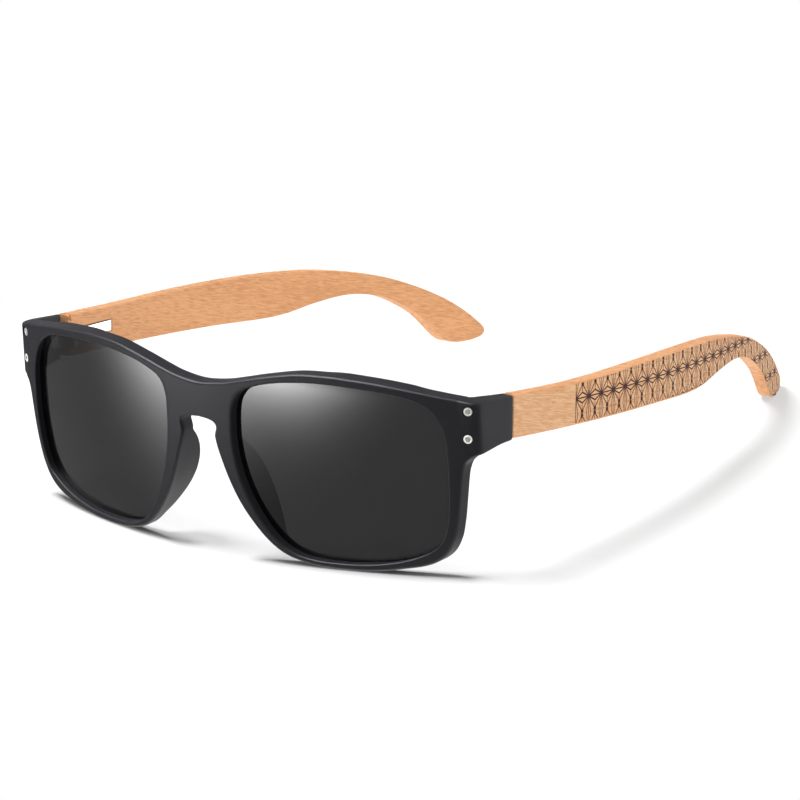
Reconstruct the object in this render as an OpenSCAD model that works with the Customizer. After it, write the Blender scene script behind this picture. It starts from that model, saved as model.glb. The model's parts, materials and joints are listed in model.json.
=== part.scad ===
// Sunglasses with a moulded front, wooden temples and spring hinges.
// The front faces -Y, the temples run towards +Y and the glasses stand on z = 0.
// Left and right are the wearer's: the left temple is at +X.

/* [Front] */
// Width of each lens opening
eye_w = 54; // [50:0.5:58]
// Height of each lens opening
eye_h = 44; // [41:0.5:47]
// Gap between the two lens openings
bridge_w = 20; // [17:0.5:23]
// Radius of the front face
front_radius = 158; // [150:1:200]
// Radius of the rear face
rear_radius = 160; // [154:1:164]
// Thickness of the bridge, front to rear
bridge_depth = 4.2; // [3.9:0.1:5]
// Height of the rim under the lens opening
rim_bottom = 1.6; // [1.5:0.1:3]
// Radius of the front corner of the end piece, seen from above
corner_radius = 2.6; // [2.4:0.1:3.2]
// Length of the end piece behind its front corner
end_piece_len = 11.6; // [11.1:0.1:13.5]
// Depth of the nose pads behind the front face
pad_depth = 10.8; // [9:0.2:12]
// Thickness of a nose pad
pad_thick = 3.2; // [2.6:0.1:3.6]

/* [Lenses] */
// Thickness of a lens
lens_thick = 1.2; // [1:0.1:1.4]
// Rear lip that holds the lens
lens_lip = 0.7; // [0.6:0.05:0.9]
// Depth of the groove around the lens opening
groove_depth = 0.6; // [0.4:0.05:0.7]
// Clearance of the lens in its groove
lens_clearance = 0.05; // [0.03:0.01:0.1]

/* [Rivets] */
// Diameter of a rivet
rivet_d = 2.2; // [1.8:0.1:2.4]
// Length of a rivet
rivet_len = 2.6; // [2:0.1:3]
// Distance between the two rivets of a corner
rivet_gap = 6.5; // [6:0.1:7]

/* [Temples] */
// Reach of a temple behind the joint
temple_reach = 137.2; // [130:0.2:145]
// Thickness of a temple
temple_thick = 3.6; // [3.5:0.1:4.2]
// Radius of the temple's bow, seen from above
bow_radius = 268; // [240:2:300]
// Outward slant of a temple at the joint
splay = 6.1; // [5:0.1:7]
// Lean of the joint and of the hinge axis
joint_lean = 7; // [5:0.5:8]
// Gap between end piece and temple
joint_gap = 0.36; // [0.34:0.02:0.5]

/* [Spring hinge] */
// Distance of the hinge axis from the temple's inner face
axis_inset = 1; // [0.9:0.05:1.2]
// Diameter of the hinge knuckles
knuckle_d = 3; // [2.8:0.1:3.2]
// Height of the middle knuckle
knuckle_mid = 2; // [1.8:0.1:2.2]
// Height of each outer knuckle
knuckle_end = 1.5; // [1.3:0.1:1.8]
// Diameter of the hinge screw
screw_d = 1.4; // [1.2:0.1:1.5]
// Running clearance of moving pieces
run = 0.05; // [0.03:0.01:0.08]
// Width of the spring housing
housing_w = 2.4; // [2.3:0.1:2.5]
// Height of the spring housing
housing_h = 2.6; // [2.5:0.1:3]
// Wall of the spring housing
housing_wall = 0.35; // [0.3:0.01:0.37]
// Length of the spring housing
housing_len = 14; // [13.6:0.2:16]
// Length of the sliding block
block_len = 4; // [3.6:0.1:4.4]
// Length of the stop bush
bush_len = 1.3; // [1:0.1:1.4]
// Diameter of the guide pin
guide_d = 0.8; // [0.7:0.05:0.85]
// Length of the spring
spring_len = 6; // [5.6:0.1:6.4]
// Wire diameter of the spring
wire_d = 0.25; // [0.2:0.01:0.26]
// Turns of the spring
turns = 8; // [6:1:8]

/* [Hidden] */
$fn = 96;
ball_fn = 240;
far = 200;

// Stretch of the drawn outlines, which are for a 54 by 44 eye and a 20 bridge
draw_eye_w = 54;
draw_eye_h = 44;
draw_bridge = 20;
draw_rim = 1.6;
function stretch_x(x) = min(x, draw_bridge / 2) * bridge_w / draw_bridge
    + max(0, x - draw_bridge / 2) * eye_w / draw_eye_w;
function stretch_z(z) = min(z, draw_rim) * rim_bottom / draw_rim + max(0, z - draw_rim) * eye_h / draw_eye_h;
function stretch(points) = [for (p = points) [stretch_x(p[0]), stretch_z(p[1])]];

// Half of the front's outer edge, from the top of the bridge round to the keyhole
brow = [[0, 42.6], [7, 43.2], [18.5, 45.5], [29, 47.3], [39.5, 47.7], [49, 46.9], [58, 45.4],
    [65, 44], [72, 42.8]];
rim = [[72, 30.8], [69.7, 30.3], [68.3, 29.3], [67.4, 27.7], [66.95, 25], [66.2, 19], [65.2, 13.5],
    [63.9, 8.8], [61.5, 5], [57.4, 2.6], [51, 1.2], [45, 0.3], [38, 0], [31, 0.2], [25.5, 1.1], [21, 2.8],
    [17, 6], [13.2, 10.8], [10.6, 15.3], [8.6, 19.8], [7, 24], [5.7, 27.5], [4.8, 30]];
keyhole = [[4.8, 30], [5.3, 31.4], [4.9, 32.9], [3.2, 33.8], [0, 34.1]];
// Edge of a lens opening, seen from the front
eye = [[10, 33], [10.5, 38.4], [12.8, 41.8], [17.5, 43.7], [24, 45], [33, 45.6], [43, 45.1], [52, 44],
    [58, 42.2], [61.6, 39.2], [63.6, 34], [64, 26], [63.7, 18], [62.6, 11.8], [60.3, 7.6], [56, 4.9],
    [50, 3], [43, 1.9], [36, 1.6], [30, 1.8], [25, 2.8], [20.6, 5.4], [16.9, 9.8], [13.9, 15],
    [11.6, 21], [10.3, 27.2]];
// Upper and lower edge of a temple, behind the joint and above the ground
draw_reach = 136.8;
draw_hinge_z = 35.9;
hinge_stretch = 30;
temple_top = [[-6, 42], [0.3, 41.1], [22, 38], [48, 35.2], [68, 32.7], [85, 29.9], [97, 26.9],
    [109, 22.8], [118.5, 18], [126, 13.2], [131.5, 8.6], [135.4, 4.4], [136.8, 2.2], [136, 0.6], [133, 0]];
temple_bottom = [[133, 0], [129.5, 0.1], [126.2, 1.2], [123.6, 4], [121, 7.5], [117.6, 11.2], [111, 16],
    [104.8, 18.8], [97.5, 20.4], [88, 20.5], [79, 20], [70, 20.7], [53, 23.3], [22, 27.6], [-6, 31.4]];

// Curve through points, with a few steps between neighbours
function curve_at(a, b, c, d, t) = 0.5 * (2 * b + (c - a) * t + (2 * a - 5 * b + 4 * c - d) * t * t
    + (3 * b - a - 3 * c + d) * t * t * t);
function curve(p, steps) = [for (i = [0 : len(p) - 2], k = [0 : steps - 1])
    curve_at(p[max(i - 1, 0)], p[i], p[i + 1], p[min(i + 2, len(p) - 1)], k / steps), p[len(p) - 1]];
function loop(p, steps) = let (n = len(p)) [for (i = [0 : n - 1], k = [0 : steps - 1])
    curve_at(p[(i + n - 1) % n], p[i], p[(i + 1) % n], p[(i + 2) % n], k / steps)];
// Clockwise loop moved outwards by d
function grown(p, d) = let (n = len(p)) [for (i = [0 : n - 1])
    let (t = p[(i + 1) % n] - p[(i + n - 1) % n]) p[i] + d * [-t[1], t[0]] / norm(t)];
function arc(centre, r, from, to, steps) = [for (k = [0 : steps])
    let (a = from + (to - from) * k / steps) centre + r * [cos(a), sin(a)]];

// Places of the front, measured from its foremost point
// The drawn outline starts this far outside the end piece
side_trim = 1;
corner_turn = 64;
side_x = stretch_x(rim[0][0]) - side_trim;
mid_z = stretch_z(draw_rim) + eye_h / 2;
hinge_z = stretch_z(draw_hinge_z);
function sag(x, z) = front_radius - sqrt(front_radius * front_radius - x * x - pow(z - mid_z, 2));
function rear_sag(x) = bridge_depth + rear_radius - sqrt(rear_radius * rear_radius - x * x);
corner_x = side_x - corner_radius;
shell_x = corner_x + 0.3 * corner_radius;
corner_start_x = corner_x + cos(corner_turn) * corner_radius;
corner_back = sag(corner_start_x, hinge_z) + sin(corner_turn) * corner_radius;
joint_back = corner_back + end_piece_len;
apex_y = -(joint_back + temple_reach) / 2;
corner_y = apex_y + corner_back;
joint_y = apex_y + joint_back;
front_centre = [0, apex_y + front_radius, mid_z];
rear_centre = [0, apex_y + bridge_depth + rear_radius, mid_z];
// End piece: step beside the temple, upper and lower edge, fillet and fall of the top
end_piece_step = 0.2;
draw_end_top = 42.85;
draw_end_low = 30.2;
end_piece_top = stretch_z(draw_end_top);
end_piece_low = stretch_z(draw_end_low);
fillet_r = 6;
joint_bevel = 1.7;
top_slope = 9.4;
top_tilt = 9.5;
// Nose pad: middle on the front face, arc seen from the side, lean and flare of its inner face
pad_mid = [10.7, 15];
pad_arc_r = 18;
pad_lean = 24.4;
pad_flare = 4;

// Joint and hinge
inner_x = side_x - temple_thick;
hinge = [inner_x - axis_inset, joint_y, hinge_z];
stack_h = knuckle_mid + 2 * knuckle_end + 2 * run;
screw_head_h = 0.6;
screw_head_d = 2.4;
relief_d = knuckle_d + 0.5;
relief_h = stack_h + 2 * screw_head_h + 0.4;
tang_x = axis_inset + 0.3;
tang_thick = 1.2;
tang_len = 7;
tang_h = 4.4;
// Slide direction follows the temple's chord along the housing
housing_start = 3.4;
housing_end = housing_start + housing_len;
chord = splay - housing_end / 2 / bow_radius * 180 / PI;
cavity_w = housing_w - 2 * housing_wall;
cavity_h = housing_h - 2 * housing_wall;
cavity_mid = axis_inset + housing_w / 2;
block_start = 3.2;
block_end = block_start + block_len;
bush_start = block_end + 2 * run;
spring_start = bush_start + bush_len;
pin_head_start = spring_start + spring_len;
pin_head_len = 0.8;
pin_seat = 1.2;
slot_slack = 0.05;
arm = [[-0.2, 0.6], [1.3, 0.6], [1.7, 1.4], [cavity_mid + cavity_w / 2 - run, 2.4],
    [cavity_mid + cavity_w / 2 - run, block_start + 0.2],
    [cavity_mid - cavity_w / 2 + run, block_start + 0.2],
    [cavity_mid - cavity_w / 2 + run, block_start - 0.2], [-0.2, 1.4]];

// Seats of the rivets on the front corner
rivet_slant = 28;
rivet_inset = 2.35;
draw_rivet_z = 37.5;
rivet_x = side_x - rivet_inset;
rivet_z = stretch_z(draw_rivet_z);
rivet_rim = 0.22;
rivet_sink = 0.3;

// Prism of the front half, drawn in x and z
module along_y(points) {
    rotate([90, 0, 0])
        linear_extrude(height = far)
            polygon(points);
}

// Prism across the glasses, drawn in y and z
module along_x(points) {
    rotate([90, 0, 90])
        linear_extrude(height = 2 * far, center = true)
            polygon(points);
}

module ball(centre, r) {
    translate(centre)
        sphere(r = r, $fn = ball_fn);
}

// Puts a piece of the +X side in its place, or its mirror image at -X
module side(s) {
    if (s > 0) children();
    else mirror([1, 0, 0]) children();
}

module at_hinge() {
    translate(hinge)
        rotate([-joint_lean, 0, 0])
            children();
}

// Frame of the slide: y runs back along the spring housing
module at_slide() {
    at_hinge()
        rotate([0, 0, -chord])
            children();
}

module block_xyz(low, high) {
    translate(low)
        cube(high - low);
}

// Front
half_edge = concat(curve(stretch(brow), 4), curve(stretch(rim), 3), curve(stretch(keyhole), 3));
front_edge = concat(half_edge, [for (i = [len(half_edge) - 2 : -1 : 1]) [-half_edge[i][0], half_edge[i][1]]]);
eye_edge = loop(stretch(eye), 2);

// End piece: a block behind the corner, with a fillet towards the rear face
module end_piece() {
    inner = inner_x - end_piece_step;
    front = corner_y - 2 * corner_radius;
    back = joint_y + temple_thick;
    fillet_turn = acos(inner / rear_radius);
    fillet_x = inner - fillet_r * (1 - cos(fillet_turn));
    fillet_y = apex_y + rear_sag(fillet_x);
    plan = concat(
        [[fillet_x - bridge_depth / 4, fillet_y - bridge_depth / 2]],
        [[corner_x - corner_radius / 3, front]],
        arc([corner_x, corner_y], corner_radius, -corner_turn, 0, 10),
        [[side_x, back], [inner, back]],
        arc([inner - fillet_r, fillet_y + fillet_r * sin(fillet_turn)], fillet_r, 0, -fillet_turn, 6));
    intersection() {
        linear_extrude(height = far)
            polygon(plan);
        along_y(front_edge);
        ball(front_centre, front_radius);
        block_xyz([0, -far, end_piece_low], [far, 0, far]);
        at_hinge()
            difference() {
                block_xyz([-far, -far, -far], [far, -joint_gap / 2, far]);
                translate([axis_inset - end_piece_step, -joint_gap / 2, 0])
                    rotate([0, 0, 45])
                        cube([joint_bevel * sqrt(2), joint_bevel * sqrt(2), far], center = true);
            }
    }
}

// What is cut off behind the corner so that the top falls towards the temple
module above_end_piece() {
    translate([side_x, corner_y, end_piece_top])
        rotate([-top_slope, top_tilt, 0])
            block_xyz([-eye_w, -far / 4, 0], [corner_radius, far / 4, far / 10]);
}

module nose_pad() {
    translate([stretch_x(pad_mid[0]), apex_y, stretch_z(pad_mid[1])])
        rotate([0, -pad_lean, 0])
            rotate([0, 0, -pad_flare])
                translate([0, pad_depth - pad_arc_r, 0])
                    rotate([0, 90, 0])
                        cylinder(r = pad_arc_r, h = pad_thick);
}

module lens_seat() {
    rear = rear_radius + lens_lip;
    difference() {
        intersection() {
            along_y(grown(eye_edge, groove_depth + lens_clearance));
            ball(rear_centre, rear + lens_thick + lens_clearance);
        }
        ball(rear_centre, rear - lens_clearance);
    }
}

module hinge_seat() {
    at_hinge() {
        cylinder(d = relief_d, h = relief_h, center = true);
        block_xyz([tang_x - run, -tang_len - run, -tang_h / 2 - run],
            [tang_x + tang_thick + run, 0, tang_h / 2 + run]);
        for (s = [-1, 1])
            translate([0, 0, s * (knuckle_mid / 2 + run + knuckle_end / 2)])
                block_xyz([-0.2, -knuckle_d / 2 - run, -knuckle_end / 2 - run],
                    [tang_x + tang_thick, 0, knuckle_end / 2 + run]);
    }
}

module at_rivets() {
    for (s = [-1, 1])
        let (z = rivet_z + s * rivet_gap / 2)
            translate([rivet_x, apex_y + sag(rivet_x, z), z])
                rotate([90, 0, rivet_slant])
                    children();
}

module front_frame() {
    color("#2c2d31")
        difference() {
            union() {
                difference() {
                    intersection() {
                        along_y(front_edge);
                        ball(front_centre, front_radius);
                        block_xyz([-shell_x, -far, 0], [shell_x, 0, far]);
                    }
                    ball(rear_centre, rear_radius);
                }
                for (s = [-1, 1])
                    side(s) {
                        end_piece();
                        intersection() {
                            nose_pad();
                            ball(front_centre, front_radius);
                            along_y(front_edge);
                        }
                    }
            }
            for (s = [-1, 1])
                side(s) {
                    along_y(eye_edge);
                    lens_seat();
                    hinge_seat();
                    above_end_piece();
                    at_rivets() {
                        translate([0, 0, -rivet_len - run])
                            cylinder(d = rivet_d + run, h = far / 10);
                        translate([0, 0, -rivet_sink])
                            cylinder(d = rivet_d + 2 * rivet_rim, h = far / 10);
                    }
                }
        }
}

module lens() {
    rear = rear_radius + lens_lip;
    color("#303134")
        difference() {
            intersection() {
                along_y(grown(eye_edge, groove_depth - lens_clearance));
                ball(rear_centre, rear + lens_thick);
            }
            ball(rear_centre, rear);
        }
}

// Two pins with a sunk ring on each head
module rivets() {
    ring_d = 0.6 * rivet_d;
    ring_sink = 0.12;
    color("silver")
        at_rivets()
            difference() {
                translate([0, 0, -rivet_len])
                    cylinder(d = rivet_d, h = rivet_len);
                translate([0, 0, -ring_sink])
                    cylinder(d = ring_d, h = 1);
            }
}

// Tang in the end piece with the two outer knuckles
module front_hinge() {
    color("silver")
        at_hinge()
            difference() {
                union() {
                    block_xyz([tang_x, -tang_len, -tang_h / 2], [tang_x + tang_thick, -run, tang_h / 2]);
                    for (s = [-1, 1])
                        translate([0, 0, s * (knuckle_mid / 2 + run + knuckle_end / 2)]) {
                            cylinder(d = knuckle_d, h = knuckle_end, center = true);
                            block_xyz([0, -knuckle_d / 2, -knuckle_end / 2],
                                [tang_x + tang_thick, -joint_gap, knuckle_end / 2]);
                        }
                }
                cylinder(d = screw_d + 2 * run, h = far, center = true);
                cylinder(d = relief_d, h = knuckle_mid + 2 * run, center = true);
            }
}

module hinge_screw() {
    slot_w = 0.35;
    slot_deep = 0.3;
    color("gainsboro")
        at_hinge()
            difference() {
                union() {
                    translate([0, 0, -stack_h / 2])
                        cylinder(d = screw_d, h = stack_h + run);
                    translate([0, 0, stack_h / 2 + run])
                        cylinder(d = screw_head_d, h = screw_head_h);
                }
                translate([0, 0, stack_h / 2 + run + screw_head_h])
                    cube([slot_w, screw_head_d + 1, 2 * slot_deep], center = true);
            }
}

// Middle knuckle on an arm, with the block that slides in the housing
module carriage() {
    block_w = cavity_w - 2 * run;
    block_h = cavity_h - 2 * run;
    color("silver")
        at_slide()
            difference() {
                union() {
                    cylinder(d = knuckle_d, h = knuckle_mid, center = true);
                    linear_extrude(height = block_h, center = true)
                        polygon(arm);
                    translate([cavity_mid - block_w / 2, block_start, -block_h / 2])
                        cube([block_w, block_len, block_h]);
                }
                cylinder(d = screw_d + 2 * run, h = far, center = true);
                translate([cavity_mid, block_end - pin_seat, 0])
                    rotate([-90, 0, 0])
                        cylinder(d = guide_d, h = far);
            }
}

module guide_pin() {
    head_d = min(cavity_w, cavity_h) - 4 * run;
    color("gainsboro")
        at_slide()
            translate([cavity_mid, 0, 0])
                rotate([-90, 0, 0]) {
                    translate([0, 0, block_end - pin_seat])
                        cylinder(d = guide_d, h = pin_head_start - block_end + pin_seat);
                    translate([0, 0, pin_head_start])
                        cylinder(d = head_d, h = pin_head_len);
                }
}

module stop_bush() {
    color("goldenrod")
        at_slide()
            difference() {
                translate([cavity_mid - cavity_w / 2, bush_start, -cavity_h / 2])
                    cube([cavity_w, bush_len, cavity_h]);
                translate([cavity_mid, 0, 0])
                    rotate([-90, 0, 0])
                        cylinder(d = guide_d + 2 * run, h = far);
            }
}

// Coil as one unbroken tube around the guide pin
coil_sides = 6;
coil_rings = 8;
coil_r = guide_d / 2 + 1.5 * run + wire_d / 2 + 0.05;
coil_from = spring_start + wire_d / 2 + run;
coil_to = pin_head_start - wire_d / 2 - run;
coil_count = turns * coil_rings;
function coil_point(k) = let (a = 360 * k / coil_rings)
    [coil_r * cos(a), coil_from + (coil_to - coil_from) * k / coil_count, coil_r * sin(a)];
function coil_ring(k) = let (a = 360 * k / coil_rings, c = coil_point(k))
    [for (j = [0 : coil_sides - 1]) let (b = 360 * j / coil_sides, w = wire_d / 2)
        c + w * [cos(b) * cos(a), sin(b), cos(b) * sin(a)]];
// Least gap of the tube to itself, over points at least half a turn apart
coil_gap = min([for (k = [0 : coil_count - coil_rings / 2], m = [k + coil_rings / 2 : coil_count])
    norm(coil_point(m) - coil_point(k))]) - wire_d;
echo(spring_gap_to_itself = coil_gap);

module spring() {
    points = [for (k = [0 : coil_count]) each coil_ring(k)];
    last = coil_count * coil_sides;
    faces = concat(
        [for (k = [0 : coil_count - 1], j = [0 : coil_sides - 1])
            let (a = k * coil_sides, n = (j + 1) % coil_sides) each
                [[a + j, a + n, a + coil_sides + j], [a + n, a + coil_sides + n, a + coil_sides + j]]],
        [for (j = [1 : coil_sides - 2]) [0, j + 1, j]],
        [for (j = [1 : coil_sides - 2]) [last, last + j, last + j + 1]]);
    color("dimgray")
        at_slide()
            translate([cavity_mid, 0, 0])
                polyhedron(points = points, faces = faces);
}

module spring_housing() {
    color("whitesmoke")
        at_slide()
            difference() {
                block_xyz([axis_inset, housing_start, -housing_h / 2],
                    [axis_inset + housing_w, housing_end, housing_h / 2]);
                block_xyz([axis_inset + housing_wall, 0, -cavity_h / 2],
                    [axis_inset + housing_wall + cavity_w, housing_end - housing_wall, cavity_h / 2]);
            }
}

// Temple: side view cut from a strip that bows inwards
function temple_u(u) = u < hinge_stretch ? u
    : hinge_stretch + (u - hinge_stretch) * (temple_reach - hinge_stretch) / (draw_reach - hinge_stretch);
function temple_points(p) = [for (q = p) [joint_y + temple_u(q[0]), q[1] * hinge_z / draw_hinge_z]];

module temple() {
    bow_centre = [side_x - bow_radius * cos(splay), joint_y + bow_radius * sin(splay), 0];
    edge = concat(curve(temple_points(temple_top), 3), curve(temple_points(temple_bottom), 3));
    color("#d8a067")
        difference() {
            intersection() {
                along_x(edge);
                translate(bow_centre)
                    difference() {
                        cylinder(r = bow_radius, h = far, $fn = ball_fn);
                        translate([0, 0, -1])
                            cylinder(r = bow_radius - temple_thick, h = far + 2, $fn = ball_fn);
                    }
                block_xyz([0, -far, 0], [far, far, far]);
                at_hinge()
                    block_xyz([-far, joint_gap / 2, -far], [far, far, far]);
            }
            at_slide()
                block_xyz([-far / 10, -far / 10, -housing_h / 2 - slot_slack],
                    [axis_inset + housing_w + slot_slack, housing_end + slot_slack,
                        housing_h / 2 + slot_slack]);
            at_hinge()
                cylinder(d = relief_d, h = relief_h, center = true);
        }
}

front_frame();
side(1) lens();  // left_lens
side(-1) lens();  // right_lens
side(1) rivets();  // left_rivets
side(-1) rivets();  // right_rivets
side(1) front_hinge();  // left_front_hinge
side(-1) front_hinge();  // right_front_hinge
side(1) hinge_screw();  // left_hinge_screw
side(-1) hinge_screw();  // right_hinge_screw
side(1) carriage();  // left_carriage
side(-1) carriage();  // right_carriage
side(1) guide_pin();  // left_guide_pin
side(-1) guide_pin();  // right_guide_pin
side(1) spring();  // left_spring
side(-1) spring();  // right_spring
side(1) stop_bush();  // left_stop_bush
side(-1) stop_bush();  // right_stop_bush
side(1) spring_housing();  // left_spring_housing
side(-1) spring_housing();  // right_spring_housing
side(1) temple();  // left_temple
side(-1) temple();  // right_temple
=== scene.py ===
"""Sunglasses with a satin plastic front and engraved wooden temples, dressed for a still picture."""
import json
import math
from types import SimpleNamespace

import bmesh
import bpy
import numpy as np
from bpy.props import FloatProperty, FloatVectorProperty, PointerProperty
from mathutils import Matrix, Vector

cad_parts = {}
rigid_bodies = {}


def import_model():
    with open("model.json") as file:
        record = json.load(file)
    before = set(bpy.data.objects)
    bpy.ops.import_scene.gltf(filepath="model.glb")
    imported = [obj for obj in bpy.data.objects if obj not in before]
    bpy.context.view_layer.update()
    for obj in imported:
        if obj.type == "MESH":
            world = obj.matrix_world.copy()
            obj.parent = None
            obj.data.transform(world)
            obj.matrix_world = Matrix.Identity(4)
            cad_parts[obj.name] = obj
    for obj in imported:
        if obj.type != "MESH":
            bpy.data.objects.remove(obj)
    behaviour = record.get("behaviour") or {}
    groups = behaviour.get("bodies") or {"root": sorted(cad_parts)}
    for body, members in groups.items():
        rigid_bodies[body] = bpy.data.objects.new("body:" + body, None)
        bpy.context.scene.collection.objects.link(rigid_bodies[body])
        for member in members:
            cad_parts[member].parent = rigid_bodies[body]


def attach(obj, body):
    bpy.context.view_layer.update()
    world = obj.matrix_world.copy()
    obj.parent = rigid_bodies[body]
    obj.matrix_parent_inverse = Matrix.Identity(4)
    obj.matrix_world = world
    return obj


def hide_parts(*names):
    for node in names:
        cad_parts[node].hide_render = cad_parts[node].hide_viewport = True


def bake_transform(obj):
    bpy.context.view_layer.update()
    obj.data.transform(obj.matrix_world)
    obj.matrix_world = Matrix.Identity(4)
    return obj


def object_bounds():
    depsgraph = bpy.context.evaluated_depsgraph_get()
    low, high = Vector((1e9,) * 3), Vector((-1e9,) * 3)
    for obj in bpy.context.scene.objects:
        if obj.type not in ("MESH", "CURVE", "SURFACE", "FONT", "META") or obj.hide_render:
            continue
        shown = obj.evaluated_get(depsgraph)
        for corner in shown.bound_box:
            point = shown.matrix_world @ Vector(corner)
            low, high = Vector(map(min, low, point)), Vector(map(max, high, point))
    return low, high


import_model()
CAD_BOX = [list(corner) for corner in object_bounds()]

bl_info = {
    "name": "Wooden sunglasses",
    "version": (1, 0, 0),
    "blender": (4, 5, 0),
    "location": "3D View > Sidebar > Sunglasses",
    "description": "Builds the visible surfaces of a pair of sunglasses with wooden temples",
    "category": "Object",
}

# Outlines of the left half seen from the front, in millimetres: x out from the middle, z up from the floor
BROW_LINE = [
    (-7, 43.3), (0, 42.6), (7, 43.3), (12, 44.4), (18.5, 45.9), (27, 47.4), (34, 47.65), (40, 47.4),
    (49, 46.5), (58, 45), (65, 43.7), (72, 42.5),
]
RIM_LINE = [
    (72, 30.6), (70.5, 30.15), (69.1, 29.5), (68, 28.5), (67.3, 26.8), (66.85, 24.6), (66.1, 19),
    (65.2, 13.5), (63.9, 8.8), (61.5, 5), (57.4, 2.6), (51, 1.2), (45, 0.3), (38, 0), (31, 0.2),
    (25.5, 1.1), (21, 2.8), (17, 6), (13.1, 10.8), (10.3, 15.3), (8.2, 19.8), (6.6, 24), (5.4, 27.5),
    (4.8, 30),
]
KEYHOLE_LINE = [(4.8, 30), (5, 31), (5.3, 32.2), (4.7, 33.2), (3, 33.8), (0, 34.1)]
EYE_LINE = [
    (10, 33), (10.5, 38.4), (12.8, 41.8), (17.5, 43.7), (24, 45), (33, 45.6), (43, 45.1), (52, 44),
    (58, 42.2), (61.6, 39.2), (63.6, 34), (64, 26), (63.7, 18), (62.6, 11.8), (60.3, 7.6), (56, 4.9),
    (50, 3), (43, 1.9), (36, 1.6), (30, 1.8), (25, 2.8), (20.6, 5.4), (16.9, 9.8), (13.9, 15),
    (11.6, 21), (10.3, 27.2),
]
# Places of the outer line and the places of the eye's line that lie across from them
ACROSS = [
    ((0, 42.6), (11.2, 40)), ((18.5, 45.5), (17.5, 43.7)), ((39.5, 47.7), (38, 45.4)),
    ((58, 45.4), (58, 42.2)), ((66.5, 43.4), (61.6, 39.2)), ((68.8, 29.3), (63.9, 31)),
    ((66.85, 24.6), (64, 25)), ((65.2, 13.5), (63, 13)), ((61.5, 5), (60.3, 7.6)), ((51, 1.2), (50, 3)),
    ((38, 0), (38, 1.7)), ((25.5, 1.1), (25, 2.8)), ((17, 6), (18.9, 7.3)), ((10.6, 15.3), (13.9, 15)),
    ((7, 24), (11, 24)), ((4.8, 30), (10.15, 29)), ((0, 34.1), (10, 33)),
]
# Where the brow and the rim end at the open side that the end piece closes
OPEN_TOP_X = 66.5
OPEN_LOW_X = 68.8
# The place in which the lines of a lens's face meet
LENS_MIDDLE = (38.0, 24.5)

# Lean of the outer wall: inwards beside the nose, outwards along the brow, each between two soft limits
NOSE_LEAN = 0.07
NOSE_X = (24, 14)
NOSE_Z = (31, 27)
BROW_LEAN = 0.09
BROW_FROM_X = (33, 40)
BROW_TO_X = (59, 54)
# The nose pads: stretch of their arc, softness of their foot, and where they fade out
PAD_STRETCH = 1.1
PAD_SOFTNESS = 0.5
PAD_FADE_X = (32, 22)
# Rounding of the lens wall's rear edge, as a share of its front edge's rounding
REAR_SHARE = 0.7
# Slopes of the end piece's upper side, up towards the middle and down towards the joint
END_RISE = 0.1673
END_FALL = 0.1655
# Start of the end piece's outer side: its place, and the turn at which its corner begins, in degrees
END_START_X = 67.4
END_START_TURN = -64
# How far before the corner's centre and beyond the joint the arch of the lower side would end
ARCH_BEFORE = 1
ARCH_BEYOND = 4
# The end piece's plan: points of an arc and of the lead to it, rings round the corner, the power by which
# they crowd at its start, and rings from the corner to the joint
ARC_POINTS = 24
LEAD_POINTS = 6
CORNER_RINGS = 22
CORNER_CROWDING = 1.6
JOINT_RINGS = 7
# Smallest rounding that is left where the end piece shrinks to its end
LEAST_ROUND = 0.1

# Points along the brow, the rim, the keyhole, the open side and the middle seam, and rows across the faces
BROW_POINTS = 110
RIM_POINTS = 176
KEYHOLE_POINTS = 28
SIDE_POINTS = 24
SEAM_POINTS = 12
FACE_ROWS = 12
LENS_ROWS = 18

# A temple's upper and lower edge: distance behind the joint and height, in millimetres
TEMPLE_TOP = [
    (-6, 42), (0.3, 41.1), (22, 38), (48, 35.2), (68, 32.7), (85, 29.9), (97, 26.9), (109, 22.8),
    (118.5, 18), (126, 13.2), (131.5, 8.6), (135.4, 4.4), (136.8, 2.2), (136, 0.6), (133, 0),
]
TEMPLE_LOW = [
    (-6, 31.4), (22, 27.6), (53, 23.3), (70, 20.7), (79, 20), (88, 20.5), (97.5, 20.4), (104.8, 18.8),
    (111, 16), (117.6, 11.2), (121, 7.5), (123.6, 4), (126.2, 1.2), (129.5, 0.1), (133, 0),
]
# Places along the upper edge, counted in its points, and the places of the lower edge below them
RIB_TOP = [1.025, 2, 3, 4, 5, 6, 7, 8, 9, 10, 11, 12, 13, 14]
RIB_LOW = [0.195, 1, 1.84, 2.7, 3.9, 4.95, 5.95, 7, 8.1, 9.2, 10.9, 12, 13, 14]
# Only what lies farther back than this is stretched to the temple's reach
STRETCH_FROM = 30
# Stations along a temple, points up its face and round an edge, and the edges' largest share of its height
TEMPLE_STATIONS = 180
TEMPLE_FACE_POINTS = 26
TEMPLE_EDGE_POINTS = 5
TEMPLE_EDGE_SHARE = 0.3
# Half the thickness and half the height of the wood at the joint, where its end is rounded
TEMPLE_END_HALF = (1.8, 5.2)
# Corners of the cuts in the wood, in the hinge's frame: the housing's slot, and the slit above the hinge
HOUSING_SLOT = ((-4, -3, -1.5), (3.45, 17.85, 1.6))
TEMPLE_SLIT = ((0.2, 0.4, 3.7), (3.6, 1.1, 8))
# How fast the rows of the engraving draw together towards the tip
PATTERN_TAPER = 0.0055

# Reach, as a share of a rivet head, and height of the rivets' rings and cores
RIVET_RING = (
    [0.58, 0.6, 0.68, 0.84, 0.94, 0.94, 0.58, 0.58],
    [-0.2, -0.05, -0.01, -0.02, -0.1, -0.29, -0.29, -0.2],
)
RIVET_CORE = ([0, 0.4, 0.52, 0.52, 0], [-0.06, -0.06, -0.12, -0.29, -0.29])
# A rivet's seat: its two ends along the rivet, and its radius as a share of the head's width
RIVET_SEAT = (-0.3, 2.0)
RIVET_SEAT_SHARE = 0.57
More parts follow.
